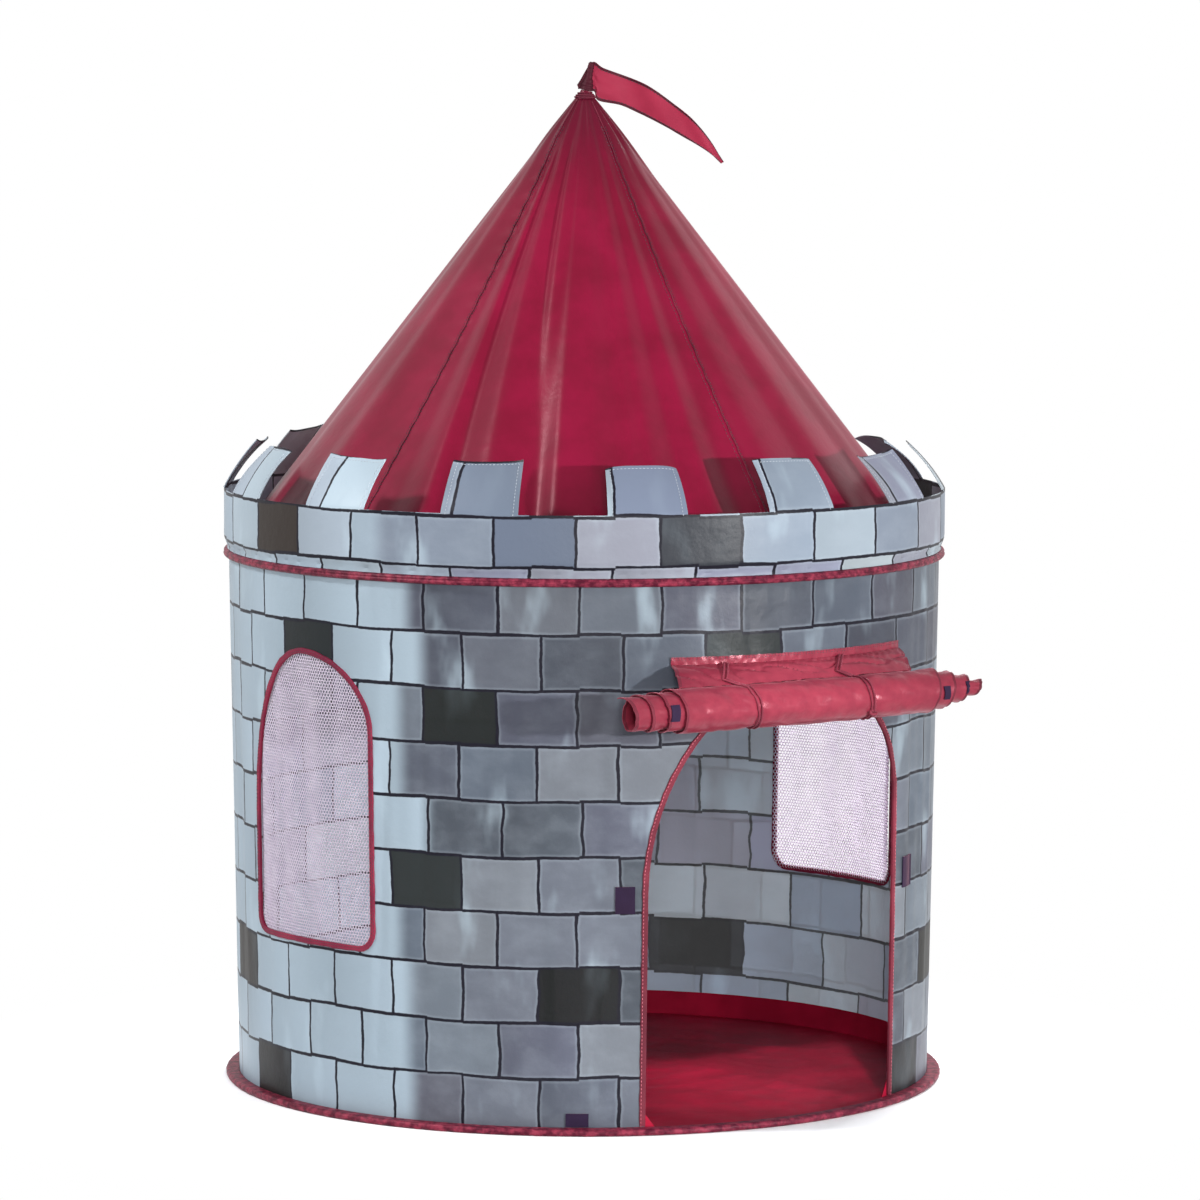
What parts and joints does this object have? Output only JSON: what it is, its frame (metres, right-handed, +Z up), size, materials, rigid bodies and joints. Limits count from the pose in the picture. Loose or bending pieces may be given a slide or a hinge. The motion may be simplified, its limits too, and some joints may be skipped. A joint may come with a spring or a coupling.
{
  "type": "kids play tent",
  "caption": "Round castle play tent: stone-print wall, red cone roof, battlements, net windows, arched door with its cloth rolled up and tied, pennant on top.",
  "frame": {"origin": "on the tent's axis, at the underside of the floor", "axes": "+Z up; -Y towards the viewer of the picture, +X to the viewer's right; the door faces front right"},
  "size_m": [1.0412, 1.1231, 1.4061],
  "materials": {
    "stone_print": "printed polyester, satin",
    "red_cloth": "polyester, satin",
    "floor_cloth": "coated polyester",
    "red_trim": "binding tape",
    "roll_cloth": "polyester, satin",
    "maroon_cord": "woven",
    "window_net": "knitted net",
    "dark_patch": "woven",
    "pole": "glass fibre",
    "steel": "spring wire",
    "plastic": "moulded"
  },
  "bodies": {
    "root": {"wall_left": "stone_print", "wall_door": "stone_print", "wall_rear": "stone_print", "wall_plain": "stone_print", "battlement_front": "stone_print", "battlement_rear": "stone_print", "roof_panel_1": "red_cloth", "roof_panel_2": "red_cloth", "roof_panel_3": "red_cloth", "roof_panel_4": "red_cloth", "floor_panel": "floor_cloth", "base_binding": "red_trim", "top_piping": "red_trim", "door_binding": "red_trim", "window_binding_left": "red_trim", "window_binding_rear": "red_trim", "pole_sleeve_1": "red_trim", "pole_sleeve_2": "red_trim", "pole_sleeve_3": "red_trim", "pole_sleeve_4": "red_trim", "door_hem": "maroon_cord", "apex_tie": "maroon_cord", "window_mesh_left": "window_net", "window_mesh_rear": "window_net", "wall_patch_1": "dark_patch", "wall_patch_2": "dark_patch", "wall_patch_3": "dark_patch", "wall_pole_1": "pole", "wall_pole_2": "pole", "wall_pole_3": "pole", "wall_pole_4": "pole", "roof_pole_1": "pole", "roof_pole_2": "pole", "roof_pole_3": "pole", "roof_pole_4": "pole", "flag_pole": "pole", "base_wire": "steel", "base_ferrule": "steel", "top_wire": "steel", "top_ferrule": "steel", "elbow_1": "plastic", "elbow_2": "plastic", "elbow_3": "plastic", "elbow_4": "plastic", "pole_foot_1": "plastic", "pole_foot_2": "plastic", "pole_foot_3": "plastic", "pole_foot_4": "plastic", "apex_hub": "plastic"},
    "door_roll": {"door_flap": "roll_cloth", "door_roll": "roll_cloth", "roll_patch_1": "dark_patch", "roll_patch_2": "dark_patch", "roll_patch_3": "dark_patch", "tie_cord_1": "maroon_cord", "tie_cord_2": "maroon_cord", "tie_toggle": "maroon_cord"},
    "flag": {"flag": "red_cloth"}
  },
  "joints": [
    {"name": "door_roll_swing", "type": "hinge", "parent": "root", "child": "door_roll", "pos_m": [0.28901, -0.39779, 0.622], "axis": [-0.809, -0.5878, 0], "range_deg": [0, 100]},
    {"name": "flag_turn", "type": "hinge", "parent": "root", "child": "flag", "pos_m": [0.00235, 0, 1.366], "axis": [0.1736, 0, 0.9848], "continuous": true}
  ]
}
